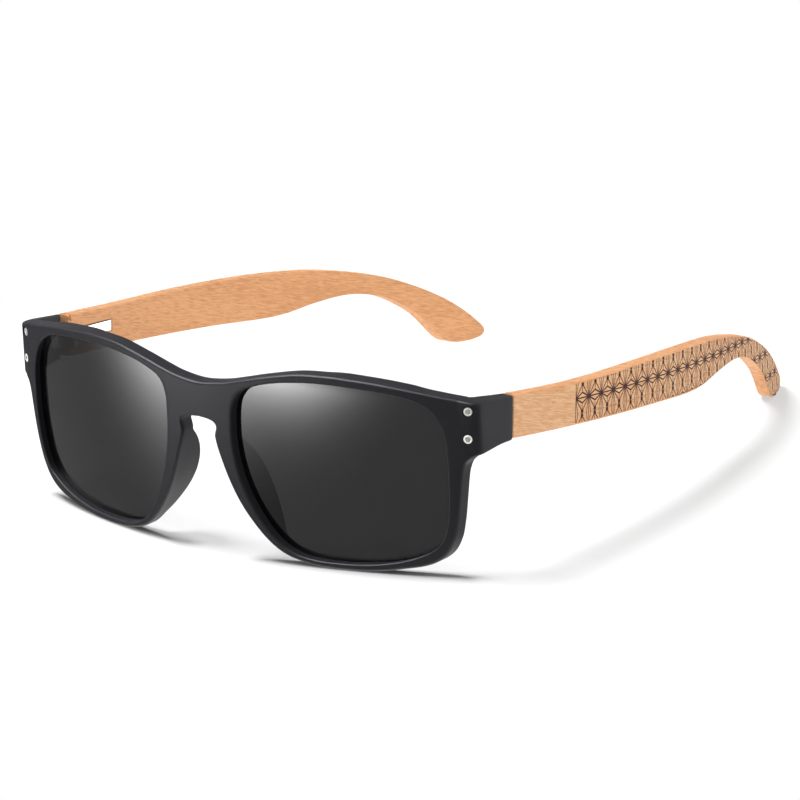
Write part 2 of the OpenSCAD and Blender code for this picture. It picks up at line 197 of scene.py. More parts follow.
# The springs: turns, steps in a turn, and sides of the wire
COIL_TURNS = 8
COIL_STEPS = 20
WIRE_SIDES = 10

# Turns of a quarter round, places on a wall between two of them, and steps round a turned piece
QUARTER = np.linspace(0, math.pi / 2, 6)
WALL = np.array([0.25, 0.5, 0.75])
ROUND_STEPS = 48
# Angle in degrees past which an edge is sharp
CREASE = 35
# Steps in a millimetre: points that lie on the same step become one
MERGE_STEPS = 2000
# Pattern coordinate of surfaces without engraving, and the limit above which a surface is an engraved face
NO_PATTERN = -10.0
PATTERN_LIMIT = -8.0
SIDES = (("left", 1), ("right", -1))

# The engraving's cell in millimetres: distance of the stars, half that of the rows, and the dots' drop
CELL_PITCH = 4.97
CELL_RISE = 3.6
DOT_DROP = 0.5
# How far aside a fan's inner line lies at the next row, and how far above the rhomb the short line starts
FAN_ASIDE = 0.85
RHOMB_MARGIN = 0.2
# A burnt line: half its width in millimetres, and where it starts to fade and ends, as shares of that
LINE_WIDTH = 0.175
LINE_EDGE = (0.8, 1.2)
# The grain: its slope along the temple in degrees, and repeats per metre across, along and up the wood
GRAIN_SLOPE = 18
BAND_REPEATS = (200, 14, 200)
FIBRE_REPEATS = (700, 270, 3800)
FLECK_REPEATS = (700, 360, 3600)
# The fibres' share of the tone, the values between which tone and flecks rise, and how much they darken
FIBRE_SHARE = 0.75
TONE_RANGE = (0.43, 0.585)
FLECK_RANGE = (0.56, 0.72)
TONE_WEIGHT = 0.55
FLECK_WEIGHT = 0.75
# Depth of the burnt lines, compared with the relief of the grain
BURNT_DEPTH = 2.0
# The satin: repeats per metre of its fine grain and of its uneven gloss, and the spread of its roughness
SATIN_FINE = 9000.0
SATIN_BROAD = 160.0
SATIN_SPREAD = 0.12

# The floor's radius and height in millimetres, and its shade: its own lamps bring it up to white
FLOOR_REACH = 190.0
FLOOR_Z = -0.05
FLOOR_SHADE = 0.21
FLOOR_STEPS = 96
# Where the lamps point, in metres
LAMP_AIM = (0, 0, 0.02)
# Level of the surroundings for the camera, and of the even light that they give
SEEN_LEVEL = 1.0
EVEN_LEVEL = 0.97
# Soft windows low in front: bearing and spread in degrees, fade downwards, and level
LOW_WINDOWS = ((-24, 8.0, 0.055, 15.0), (-45, 8.5, 0.085, 22.0))
# Height of a ray below which these windows shine in full, and above which they are dark
LOW_WINDOW_TOP = -0.09
LOW_WINDOW_EDGE = -0.03
# Side behind the object, window above it and floor below: direction, soft edge, and level outside and inside
BRIGHT_AREAS = (
    ((0.6, 0.75, 0.3), 0.45, 0.85, 0.33, 2.1),
    ((-0.38, -0.4, 0.83), 0.86, 0.97, 0.0, 30.0),
    ((0, 0, -1), 0.56, 0.8, 0.0, 3.0),
)


def length(name, description, millimetres):
    """A length property, stored in metres."""
    return FloatProperty(
        name=name, description=description, default=millimetres / 1000, unit="LENGTH", subtype="DISTANCE"
    )


def angle(name, description, degrees):
    """An angle property, stored in radians."""
    return FloatProperty(
        name=name, description=description, default=math.radians(degrees), unit="ROTATION", subtype="ANGLE"
    )


def colour(name, description, red, green, blue):
    """A colour property."""
    return FloatVectorProperty(
        name=name, description=description, default=(red, green, blue), subtype="COLOR", size=3, min=0, max=1
    )


class SunglassesSizes(bpy.types.PropertyGroup):
    """Sizes of the visible surfaces."""

    apex_y: length("Apex", "Foremost place of the front's curved face", -83.8985)
    mid_z: length("Middle height", "Height of the curved faces' centres", 23.6)
    front_radius: length("Front radius", "Radius of the front face", 158)
    rear_radius: length("Rear radius", "Radius of the rear face", 160)
    thickness: length("Thickness", "Thickness of the front at its middle", 4.2)
    lens_back: length("Lens place", "Depth of the lens behind the apex", 2.3)
    lens_thick: length("Lens thickness", "Thickness of a lens", 1.2)
    lens_hold: length("Lens hold", "How far a lens reaches into its groove", 0.6)
    groove_play: length("Groove play", "Room between the lens and its groove", 0.05)
    edge_round: length("Edge rounding", "Rounding of the front's outer edges", 0.65)
    eye_round: length("Eye rounding", "Rounding of the edges round the lenses", 0.45)
    pad_depth: length("Pad depth", "How far the nose pads reach back from the apex", 10.8)
    pad_arc: length("Pad arc", "Radius of the nose pads' crest", 18)
    pad_z: length("Pad height", "Height of the nose pads' middle", 16.5)
    side_x: length("Side", "Half the width over the end pieces", 71)
    end_inner_x: length("End piece inside", "Inner side of the end pieces", 67.2)
    corner_round: length("Corner rounding", "Outer rounding of the corners seen from above", 2.6)
    corner_back: length("Corner depth", "Depth of the corner's centre behind the apex", 19)
    corner_inside: length("Inner rounding", "Inner rounding of the corners seen from above", 3.5)
    end_top: length("End piece top", "Height of the end piece's upper side at the corner", 42.85)
    end_low: length("End piece low side", "Height of the end piece's lower side", 30.2)
    joint_back: length("Joint depth", "Depth of the joint behind the apex at the hinge's height", 30.5971)
    joint_gap: length("Joint gap", "Gap between end piece and temple", 0.36)
    joint_round: length("Joint rounding", "Rounding of the edges at the joint", 0.3)
    joint_bevel: length("Joint bevel", "Bevel of the end piece's inner edge at the joint", 1.7)
    end_arch: length("End piece arch", "How far the end piece's lower side is arched", 0.3)
    end_taper: length("End piece taper", "How much thinner the end piece is at the joint", 1.2)
    room_reach: length("Hinge room reach", "Half the height of the room for the knuckles", 3.35)
    room_radius: length("Hinge room radius", "Radius of the room for the knuckles", 1.76)
    joint_lean: angle("Joint lean", "Lean of the joint and of the hinge", 7)
    hinge_x: length("Hinge place", "Distance of the hinge from the middle", 66.4)
    hinge_z: length("Hinge height", "Height of the hinge's middle", 35.9)
    temple_chord: angle("Temple chord", "Turn of the hinge parts towards the middle", 4.24003)
    temple_thick: length("Temple thickness", "Thickness of the wood", 3.6)
    temple_bow: length("Temple bow", "Radius of the temple's outer face", 268)
    bow_back: length("Bow place", "Distance behind the joint of the temple's widest place", 28.48)
    temple_reach: length("Temple reach", "Length of the temple behind the joint", 137.2)
    wood_round: length("Wood rounding", "Rounding of the temple's long edges", 0.45)
    rivet_x: length("Rivet place", "Distance of the rivets from the middle", 68.65)
    rivet_high: length("Upper rivet", "Height of the upper rivet", 40.75)
    rivet_low: length("Lower rivet", "Height of the lower rivet", 34.25)
    rivet_wide: length("Rivet width", "Diameter of a rivet head", 2.2)
    rivet_aim: angle("Rivet turn", "Turn of the rivets to the side, away from straight ahead", 28)
    coil_x: length("Coil place", "Distance of the springs' axis from the hinge's axis", 2.2)
    coil_start: length("Coil start", "Distance of a spring's first turn behind the hinge", 8.775)
    coil_end: length("Coil end", "Distance of a spring's last turn behind the hinge", 14.425)
    coil_radius: length("Coil radius", "Radius of a spring's turns", 0.65)
    coil_wire: length("Coil wire", "Diameter of a spring's wire", 0.25)
    pattern_pitch: length("Pattern pitch", "Distance between stars of the engraving", 4.97)
    pattern_rise: length("Pattern rise", "Half the distance between rows of stars", 3.8)
    pattern_start: length("Pattern start", "Distance of the engraving behind the joint", 22.2)
    pattern_z: length("Pattern height", "Height of the first star", 33.9)
    pattern_lean: angle("Pattern lean", "Slope of the rows of stars", 7.5)


class SunglassesColours(bpy.types.PropertyGroup):
    """Colours of the materials."""

    plastic: colour("Plastic", "Satin front", 0.0112, 0.0108, 0.0135)
    lens: colour("Lens", "Dark lens", 0.002, 0.002, 0.002)
    wood: colour("Wood", "Wood of the inner faces and edges", 0.83, 0.425, 0.205)
    wood_pale: colour("Pale wood", "Wood of the outer faces", 0.785, 0.485, 0.275)
    wood_dark: colour("Grain", "Darker fibres of the wood", 0.6, 0.27, 0.115)
    burn: colour("Engraving", "Burnt lines", 0.04, 0.009, 0.006)
    steel: colour("Steel", "Bright hinge parts", 0.86, 0.86, 0.86)
    rivet: colour("Rivet", "Rings of the rivets", 0.8, 0.78, 0.75)
    brass: colour("Brass", "Stop bushes", 0.72, 0.5, 0.2)


def in_millimetres(group):
    """The group's lengths in millimetres and its angles in radians, by name."""
    values = {}
    for name in group.__annotations__:
        factor = 1 if group.bl_rna.properties[name].subtype == "ANGLE" else 1000
        values[name] = getattr(group, name) * factor
    return SimpleNamespace(**values)


# Curves and grids


def curve_at(points, places, closed=False):
    """Points of the Catmull-Rom curve through the given ones, at places counted in points from the start."""
    points = np.asarray(points, float)
    if closed:
        padded = np.vstack([points[-1:], points, points[:2]])
    else:
        padded = np.vstack([2 * points[:1] - points[1:2], points, 2 * points[-1:] - points[-2:-1]])
    places = np.asarray(places, float)
    last = len(points) - (1 if closed else 2)
    first = np.clip(np.floor(places).astype(int), 0, last)
    share = (places - first)[:, None]
    before, start, end, after = (padded[first + step] for step in range(4))
    return 0.5 * (
        2 * start
        + (end - before) * share
        + (2 * before - 5 * start + 4 * end - after) * share ** 2
        + (3 * start - before - 3 * end + after) * share ** 3
    )


def curve_line(points, closed=False, steps=16):
    """Many points of the Catmull-Rom curve through the given points."""
    spans = len(points) if closed else len(points) - 1
    return curve_at(points, np.linspace(0, spans, spans * steps + 1), closed)


def lengths_along(line):
    """The distance along the line of each of its points."""
    return np.concatenate([[0], np.cumsum(np.linalg.norm(np.diff(line, axis=0), axis=1))])


def along(line, distances, values=None):
    """The points of the line, or values that belong to its points, at the given distances from its start."""
    marks = lengths_along(line)
    columns = (line if values is None else values).T
    return np.stack([np.interp(distances, marks, column) for column in columns], axis=1)


def spaced(line, count):
    """The same line with its points spread evenly."""
    return along(line, np.linspace(0, lengths_along(line)[-1], count))


def right_hand(line):
    """Unit normals to the right of a line that is walked from its first point on."""
    step = np.gradient(line, axis=0)
    step /= np.linalg.norm(step, axis=1)[:, None]
    return np.stack([step[:, 1], -step[:, 0]], axis=1)


def eased(low, high, value):
    """A smooth step from 0 at low to 1 at high."""
    share = np.clip((value - low) / (high - low), 0, 1)
    return share * share * (3 - 2 * share)


def grid_faces(rows, columns, wrap_columns=False):
    """Corner numbers of the faces of a grid of points."""
    row = np.arange(rows - 1)[:, None] * columns
    column = np.arange(columns if wrap_columns else columns - 1)[None, :]
    next_row = row + columns
    next_column = (column + 1) % columns
    corners = [row + column, row + next_column, next_row + next_column, next_row + column]
    return np.stack(corners, axis=-1).reshape(-1, 4)


def patch(points, wrap_columns=False, marks=None):
    """A grid of points in millimetres with its faces and, where given, its pattern coordinates."""
    rows, columns = points.shape[:2]
    if marks is None:
        marks = np.full((rows, columns, 2), NO_PATTERN)
    return points.reshape(-1, 3), grid_faces(rows, columns, wrap_columns), marks.reshape(-1, 2)


def kept_inside(patches):
    """The same patches with their points held inside the box of the solids."""
    low, high = np.array(CAD_BOX) * 1000
    return [(np.clip(points, low, high), faces, marks) for points, faces, marks in patches]


def mirrored(patches):
    """The same patches on the other side of the middle plane."""
    return [(points * (-1, 1, 1), faces[:, ::-1], marks) for points, faces, marks in patches]


def mesh_object(name, patches):
    """Joins patches into one closed mesh in metres: equal points become one and all faces look outwards."""
    starts = np.cumsum([0] + [len(points) for points, faces, marks in patches])
    faces = np.concatenate([patch_faces + start for (_, patch_faces, _), start in zip(patches, starts)])
    points, marks = (np.concatenate([each[part] for each in patches]) for part in (0, 2))
    keys = np.round(points * MERGE_STEPS).astype(np.int64)
    _, first, number = np.unique(keys, axis=0, return_index=True, return_inverse=True)
    corners = number.reshape(-1)[faces]
    keep = corners != np.roll(corners, -1, axis=1)
    sound = keep.sum(axis=1) > 2
    keep, corners, faces = keep[sound], corners[sound], faces[sound]
    sides = keep.sum(axis=1)
    mesh = bpy.data.meshes.new(name)
    mesh.vertices.add(len(first))
    mesh.vertices.foreach_set("co", (points[first] / 1000).ravel())
    mesh.loops.add(int(sides.sum()))
    mesh.loops.foreach_set("vertex_index", corners[keep].astype(np.int32))
    mesh.polygons.add(len(sides))
    mesh.polygons.foreach_set("loop_start", (np.cumsum(sides) - sides).astype(np.int32))
    mesh.update(calc_edges=True)
    pattern = mesh.uv_layers.new(name="pattern")
    pattern.uv.foreach_set("vector", marks[faces[keep]].astype(np.float32).ravel())
    if mesh.validate():
        raise RuntimeError(f"{name} has faulty faces")
    outward = bmesh.new()
    outward.from_mesh(mesh)
    bmesh.ops.recalc_face_normals(outward, faces=outward.faces)
    outward.to_mesh(mesh)
    outward.free()
    finish_shading(mesh)
    piece = bpy.data.objects.new(name, mesh)
    bpy.context.scene.collection.objects.link(piece)
    return piece


def finish_shading(mesh):
    """Smooth faces with sharp edges where the surface turns more than the crease."""
    mesh.shade_smooth()
    mesh.set_sharp_from_angle(angle=math.radians(CREASE))


def revolved(reach, height, place, steps=ROUND_STEPS):
    """A profile of reach and height in millimetres, turned about the z axis of a place."""
    around = np.linspace(0, 2 * math.pi, steps, endpoint=False)
    reach, height = np.array(reach)[:, None], np.array(height)[:, None]
    rows = np.stack([reach * np.cos(around), reach * np.sin(around), height + 0 * around], axis=-1)
    return patch(turned(rows, place), wrap_columns=True)


def tube(heights, radius, place):
    """A closed round bar along the z axis of a place, between two heights."""
    low, high = heights
    return revolved([0, radius, radius, 0], [low, low, high, high], place)


def block(low, high, turn):
    """A closed box in millimetres between two corners, turned and moved."""
    (x0, y0, z0), (x1, y1, z1) = low, high
    mid_x, mid_y = (x0 + x1) / 2, (y0 + y1) / 2
    square = np.array([(x0, y0), (x1, y0), (x1, y1), (x0, y1)])
    middle = np.tile([(mid_x, mid_y)], (4, 1))
    rows = [
        np.column_stack([outline, np.full(4, height)])
        for outline, height in ((middle, z0), (square, z0), (square, z1), (middle, z1))
    ]
    return patch(turned(np.stack(rows), turn), wrap_columns=True)


def turned(points, turn):
    """The points moved by a four by four matrix."""
    matrix = np.array(turn)
    return points @ matrix[:3, :3].T + matrix[:3, 3]


def cut(piece, cutters):
    """Cuts closed patches out of a piece for good."""
    for number, cutter in enumerate(cutters):
        tool = mesh_object(f"{piece.name}_cutter_{number}", [cutter])
        modifier = piece.modifiers.new("cut", "BOOLEAN")
        modifier.operation = "DIFFERENCE"
        modifier.solver = "EXACT"
        modifier.object = tool
        graph = bpy.context.evaluated_depsgraph_get()
        mesh = bpy.data.meshes.new_from_object(piece.evaluated_get(graph))
        if not mesh.polygons:
            raise RuntimeError(f"Cut {number} left nothing of {piece.name}")
        piece.modifiers.clear()
        old = piece.data
        piece.data = mesh
        mesh.name = piece.name
        bpy.data.meshes.remove(old)
        tool_mesh = tool.data
        bpy.data.objects.remove(tool)
        bpy.data.meshes.remove(tool_mesh)
    finish_shading(piece.data)


def mirror_piece(piece, name):
    """A copy of a piece on the other side of the middle plane."""
    mesh = piece.data.copy()
    mesh.name = name
    mesh.transform(Matrix.Scale(-1, 4, (1, 0, 0)))
    mesh.flip_normals()
    copy = bpy.data.objects.new(name, mesh)
    bpy.context.scene.collection.objects.link(copy)
    return copy


def hinge_turn(s, chord=0):
    """The hinge's own frame in millimetres: leaned with the joint and, where asked, turned by the chord."""
    place = Matrix.Translation((s.hinge_x, s.apex_y + s.joint_back, s.hinge_z))
    return place @ Matrix.Rotation(-s.joint_lean, 4, "X") @ Matrix.Rotation(chord, 4, "Z")


# The front


def sag(radius, x, z, s):
    """How far a sphere falls back from its foremost place."""
    return radius - np.sqrt(radius ** 2 - x ** 2 - (z - s.mid_z) ** 2)


def front_depth(s, flat):
    """Depth of the front face behind the apex at places seen from the front."""
    return sag(s.front_radius, flat[..., 0], flat[..., 1], s)


def rear_depth(s, flat):
    """Depth of the rear face behind the apex: a sphere, raised softly to the pad's arc beside the nose."""
    x, z = flat[..., 0], flat[..., 1]
    plain = s.thickness + sag(s.rear_radius, x, z, s)
    reach = np.sqrt(np.maximum(s.pad_arc ** 2 - ((z - s.pad_z) * PAD_STRETCH) ** 2, 0))
    rise = s.pad_depth - s.pad_arc + reach - plain
    soft = (rise + np.sqrt(rise ** 2 + PAD_SOFTNESS)) / 2
    return plain + soft * eased(*PAD_FADE_X, x)


def lens_depth(s, flat, behind):
    """Depth of a lens face behind the apex, given its depth at the middle."""
    radius = s.rear_radius + s.thickness - behind
    return behind + sag(radius, flat[..., 0], flat[..., 1], s)


def in_space(s, flat, depth):
    """Places seen from the front, with their depth, as points of the frame."""
    return np.stack([flat[..., 0], s.apex_y + depth, flat[..., 1]], axis=-1)


def quarter_round(s, line, way, r, depth, sign):
    """Rows of a rounding between a wall's line and a face: 1 from the front face on, -1 to the rear face."""
    rows = []
    for turn in QUARTER[::sign]:
        flat = line + way * r * (1 - math.sin(turn))
        rows.append((flat, depth(s, flat) + sign * r * (1 - math.cos(turn))))
    return rows


def edge_strip(s, line, inward):
    """The outer wall along a line: a quarter round, a leaning wall and a quarter round to the rear face."""
    r = s.edge_round
    x, z = line[:, 0], line[:, 1]
    lean = NOSE_LEAN * eased(*NOSE_X, x) * eased(*NOSE_Z, z)
    lean -= BROW_LEAN * eased(*BROW_FROM_X, x) * eased(*BROW_TO_X, x) * (z > s.hinge_z)
    start = front_depth(s, line) + r
    inset = lean * (rear_depth(s, line) - r - start)
    foot = line + inward * inset[:, None]
    end = rear_depth(s, foot) - r
    rows = quarter_round(s, line, inward, r, front_depth, 1)
    rows += [(line + (foot - line) * share, start + (end - start) * share) for share in WALL]
    rows += quarter_round(s, foot, inward, r, rear_depth, -1)
    return tuple(np.stack(part) for part in zip(*rows))


def eye_strip(s, line, outward):
    """The wall round a lens: a quarter round, a wall with the lens groove in it and another quarter round."""
    r = s.eye_round
    front_edge = s.lens_back - s.groove_play
    rear_edge = s.lens_back + s.lens_thick + s.groove_play
    deep = line + outward * (s.lens_hold + s.groove_play)
    rows = quarter_round(s, line, outward, r, front_depth, 1)
    for flat, behind in ((line, front_edge), (deep, front_edge), (deep, rear_edge), (line, rear_edge)):
        rows.append((flat, lens_depth(s, flat, behind)))
    rows += quarter_round(s, line, outward, r * REAR_SHARE, rear_depth, -1)
    return in_space(s, *(np.stack(part) for part in zip(*rows)))


def eye_places(line, eye):
    """For each point of the closed outer line, the distance along the eye's line of what lies across."""
    marks = lengths_along(eye)
    outer_at = [np.argmin(np.linalg.norm(line - np.array(outer), axis=1)) for outer, inner in ACROSS]
    eye_at = [marks[np.argmin(np.linalg.norm(eye - np.array(inner), axis=1))] for outer, inner in ACROSS]
    eye_at = np.unwrap(np.array(eye_at), period=marks[-1])
    outer_at = np.append(outer_at, len(line))
    eye_at = np.append(eye_at, eye_at[0] + marks[-1])
    return np.interp(np.arange(len(line)), outer_at, eye_at) % marks[-1]


def face_ring(outer, inner, rows):
    """Straight lines from the outer to the inner boundary of a face, seen from the front."""
    share = np.linspace(0, 1, rows)[:, None, None]
    return outer + (inner - outer) * share


def end_piece_top(s, x, depth):
    """Height of the end piece's upper side, which slopes back and outwards below the brow's line."""
    plane = s.end_top + END_RISE * (s.side_x - x) - END_FALL * (depth - s.corner_back)
    brow = curve_line(BROW_LINE)
    return np.minimum(np.interp(x, brow[:, 0], brow[:, 1]), plane)


def end_section(s, outer, inner, rows, shrink=0.0):
    """A ring round the end piece: a rounded rectangle between two places seen from above, with a margin."""
    r = max(s.edge_round - shrink, LEAST_ROUND)
    width = np.linalg.norm(inner - outer)
    room = width - 2 * shrink
    way = eased(s.corner_back - ARCH_BEFORE, s.joint_back + ARCH_BEYOND, outer[1])
    low = s.end_low + s.end_arch * math.sin(math.pi * way) + shrink
    top_outer, top_inner = (end_piece_top(s, *place) - shrink for place in (outer, inner))
    across = np.concatenate([
        r * (1 - np.cos(QUARTER)), r + WALL * (room - 2 * r), room - r + r * np.sin(QUARTER),
    ])
    inset = np.concatenate([r * (1 - np.sin(QUARTER)), WALL * 0, r * (1 - np.cos(QUARTER))])
    top = top_outer + (top_inner - top_outer) * across / room
    outside = np.column_stack([np.zeros(rows), np.linspace(top_outer - r, low + r, rows)])
    below = np.column_stack([across, low + inset])[1:]
    inside = np.column_stack([np.full(rows, room), np.linspace(low + r, top_inner - r, rows)])[1:]
    above = np.column_stack([across, top - inset])[::-1][1:-1]
    ring = np.vstack([outside, below, inside, above])
    plan = outer + (inner - outer) * ((ring[:, :1] + shrink) / width)
    return np.column_stack([plan, ring[:, 1]])


def end_piece_rings(s, mouth, rows):
    """Rings from the front's open side round the corner to the joint, carried along two curves in plan."""
    around = np.linspace(math.radians(END_START_TURN), 0, ARC_POINTS)
    outer_arc = np.column_stack([
        s.side_x - s.corner_round + s.corner_round * np.cos(around),
        s.corner_back + s.corner_round * np.sin(around),
    ])
    lead = np.linspace(END_START_X, outer_arc[0, 0], LEAD_POINTS)[:-1]
    outer_lead = np.column_stack([lead, sag(s.front_radius, lead, s.hinge_z, s)])
    outer_line = np.vstack([outer_lead, outer_arc])
    inner_turn = -math.acos(s.end_inner_x / s.rear_radius)
    around = np.linspace(inner_turn, 0, ARC_POINTS)
    inner_x = s.end_inner_x - s.corner_inside * (1 - math.cos(inner_turn))
    inner_back = s.thickness + sag(s.rear_radius, inner_x, s.hinge_z, s)
    inner_back -= s.corner_inside * math.sin(inner_turn)
    inner_arc = np.column_stack([
        s.end_inner_x - s.corner_inside * (1 - np.cos(around)),
        inner_back + s.corner_inside * np.sin(around),
    ])
    shares = np.linspace(0, 1, CORNER_RINGS) ** CORNER_CROWDING
    outer_line = along(outer_line, shares * lengths_along(outer_line)[-1])
    inner_line = along(inner_arc, shares * lengths_along(inner_arc)[-1])
    first = end_section(s, outer_line[0], inner_line[0], rows)
    bend = (1 - shares) ** 2
    rings = []
    for outer, inner, share in zip(outer_line, inner_line, bend):
        rings.append(end_section(s, outer, inner, rows) + (mouth - first) * share)
    end = s.joint_back - s.joint_gap / 2 - s.joint_round
    outer_way = np.array([s.side_x, end]) - outer_line[-1]
    inner_way = np.array([s.end_inner_x + s.end_taper, end - s.joint_bevel]) - inner_line[-1]
    stations = [(share, 0.0, 0.0) for share in np.linspace(0, 1, JOINT_RINGS)[1:]]
    stations += [
        (1.0, s.joint_round * (1 - math.cos(turn)), s.joint_round * math.sin(turn)) for turn in QUARTER[1:]
    ]
    for share, shrink, onward in stations:
        outer = outer_line[-1] + outer_way * share
        inner = inner_line[-1] + inner_way * share
        ring = end_section(s, outer, inner, rows, shrink)
        ring[:, 1] += share * math.tan(s.joint_lean) * (ring[:, 2] - s.hinge_z) + onward
        rings.append(ring)
    rings.append(np.tile(rings[-1].mean(axis=0), (len(mouth), 1)))
    return np.stack(rings) + (0, s.apex_y, 0)


def ring_of(high, low):
    """The upper and the lower line as one closed line, joined straight at the open side and the middle."""
    side = np.linspace(high[-1], low[0], SIDE_POINTS)[1:-1]
    seam = np.linspace(low[-1], high[0], SEAM_POINTS)[1:-1]
    return np.vstack([high, side, low, seam])


def outward_normals(eye):
    """Unit normals of the closed eye line, away from the lens."""
    return -right_hand(np.vstack([eye[-2:-1], eye, eye[1:2]]))[1:-1]


def front_half(s):
    """Patches of the front's left half: two face rings, edge strips, the lens wall and the end piece."""
    brow_curve = curve_line(BROW_LINE)
    brow_x = np.linspace(0, OPEN_TOP_X, BROW_POINTS)
    brow = np.column_stack([brow_x, np.interp(brow_x, brow_curve[:, 0], brow_curve[:, 1])])
    rim_curve = curve_line(RIM_LINE)
    rim = spaced(rim_curve[rim_curve[:, 0] < OPEN_LOW_X], RIM_POINTS)
    lower = np.vstack([rim, spaced(curve_line(KEYHOLE_LINE), KEYHOLE_POINTS)[1:]])
    brow_in, lower_in = right_hand(brow), right_hand(lower)
    brow_in[0] = (0, -1)
    lower_in[-1] = (0, 1)
    eye = curve_line(EYE_LINE, closed=True)
    places = eye_places(ring_of(brow, lower), eye)
    eye_line = along(eye, places)
    eye_out = along(eye, places, outward_normals(eye))

    brow_flat, brow_depth = edge_strip(s, brow, brow_in)
    lower_flat, lower_depth = edge_strip(s, lower, lower_in)
    front_edge = eye_line + eye_out * s.eye_round
    rear_edge = eye_line + eye_out * s.eye_round * REAR_SHARE
    front_flat = face_ring(ring_of(brow_flat[0], lower_flat[0]), front_edge, FACE_ROWS)
    rear_flat = face_ring(ring_of(brow_flat[-1], lower_flat[-1]), rear_edge, FACE_ROWS)
    front_ring = in_space(s, front_flat, front_depth(s, front_flat))
    rear_ring = in_space(s, rear_flat, rear_depth(s, rear_flat))
    brow_wall = in_space(s, brow_flat, brow_depth)
    lower_wall = in_space(s, lower_flat, lower_depth)

    open_side = slice(BROW_POINTS - 1, BROW_POINTS + SIDE_POINTS - 1)
    mouth = np.vstack([
        front_ring[0, open_side], lower_wall[1:, 0],
        rear_ring[0, open_side][::-1][1:], brow_wall[::-1, -1][1:-1],
    ])
    mouth -= (0, s.apex_y, 0)
    return [
        patch(front_ring, wrap_columns=True), patch(rear_ring, wrap_columns=True),
        patch(brow_wall), patch(lower_wall), patch(eye_strip(s, eye_line, eye_out), wrap_columns=True),
        patch(end_piece_rings(s, mouth, SIDE_POINTS), wrap_columns=True),
    ]


def hinge_room(s, side):
    """The round room for the hinge's knuckles at the joint."""
    place = hinge_turn(s)
    if side < 0:
        place = Matrix.Scale(-1, 4, (1, 0, 0)) @ place
    return tube((-s.room_reach, s.room_reach), s.room_radius, place)


def rivet_turn(s, height, side):
    """A rivet's own frame in millimetres, its z axis pointing out of the front at the corner."""
    out = Vector((side * math.sin(s.rivet_aim), -math.cos(s.rivet_aim), 0))
    up = Vector((0, 0, 1))
    place = (side * s.rivet_x, s.apex_y + sag(s.front_radius, s.rivet_x, height, s), height)
    frame_axes = Matrix((up.cross(out), up, out)).transposed().to_4x4()
    return Matrix.Translation(place) @ frame_axes


# Lenses, temples, rivets and springs


def lens_patches(s, eye):
    """A lens: two spherical faces on a fan of lines from its middle, joined by an edge in the groove."""
    rim = (eye + outward_normals(eye) * s.lens_hold)[:-1]
    face = face_ring(rim, np.tile(LENS_MIDDLE, (len(rim), 1)), LENS_ROWS)
    front = in_space(s, face, lens_depth(s, face, s.lens_back))
    rear = in_space(s, face, lens_depth(s, face, s.lens_back + s.lens_thick))
    return [patch(np.concatenate([front[::-1], rear]), wrap_columns=True)]


def temple_edges(s):
    """A temple's upper and lower edge at the same stations: distance behind the joint and height."""
    places = np.interp(np.linspace(0, 1, TEMPLE_STATIONS), np.linspace(0, 1, len(RIB_TOP)), RIB_TOP)
    top = curve_at(TEMPLE_TOP, places)
    low = curve_at(TEMPLE_LOW, np.interp(places, RIB_TOP, RIB_LOW))
    drawn_reach = max(back for back, _ in TEMPLE_TOP)
    stretch = (s.temple_reach - STRETCH_FROM) / (drawn_reach - STRETCH_FROM)
    for edge in (top, low):
        edge[:, 0] += (stretch - 1) * np.maximum(edge[:, 0] - STRETCH_FROM, 0)
        edge[0, 0] = s.joint_gap / 2 + math.tan(s.joint_lean) * (edge[0, 1] - s.hinge_z)
    return top, low


def temple_section(s, tall):
    """A rounded rectangle for each height: how far up its points lie, and how far out, as a share."""
    r = np.minimum(s.wood_round, TEMPLE_EDGE_SHARE * tall)
    deep = r / s.temple_thick
    turns = np.linspace(0, math.pi / 2, TEMPLE_EDGE_POINTS)
    sine, cosine = np.sin(turns)[None], np.cos(turns)[None]
    face = np.linspace(0, 1, TEMPLE_FACE_POINTS)[None]
    level = 0 * (r + face)
    sections = [
        (r + face * (tall - 2 * r), level + 1),
        (tall - r + r * sine, 1 - deep * (1 - cosine)),
        (tall - r + r * cosine, deep * (1 - sine)),
        (tall - r - face * (tall - 2 * r), level),
        (r - r * sine, deep * (1 - cosine)),
        (r - r * cosine, 1 - deep * (1 - sine)),
    ]
    return (np.concatenate(part, axis=1) for part in zip(*sections))


def temple_patches(s):
    """The temple: rounded rectangles between its edges, carried along a bowed strip, with a rounded end."""
    top, low = temple_edges(s)
    tall = np.linalg.norm(top - low, axis=1)[:, None]
    up, out = temple_section(s, tall)
    share = np.where(tall > 1e-6, up / np.maximum(tall, 1e-6), 0.5)
    back = low[:, :1] + (top - low)[:, :1] * share
    rise = low[:, 1:] + (top - low)[:, 1:] * share
    joint_y = s.apex_y + s.joint_back
    points = np.stack([bowed_side(s, back, out), joint_y + back, rise], axis=-1)
    middle = points[:1].mean(axis=1, keepdims=True)
    half_thick, half_high = TEMPLE_END_HALF
    rounding = np.array([s.joint_round / half_thick, 0, s.joint_round / half_high])
    rows = [np.tile(middle, (1, points.shape[1], 1))]
    for turn in QUARTER[:-1]:
        shrunk = middle + (points[:1] - middle) * (1 - rounding * (1 - math.sin(turn)))
        rows.append(shrunk + (0, s.joint_round * (1 - math.cos(turn)), 0))
    points[0] += (0, s.joint_round, 0)
    closed = np.concatenate(rows + [points])
    outer_face = closed[:, :TEMPLE_FACE_POINTS]
    rest = np.concatenate([closed[:, TEMPLE_FACE_POINTS - 1:], closed[:, :1]], axis=1)
    return [patch(outer_face, marks=pattern_marks(s, outer_face, joint_y)), patch(rest)]


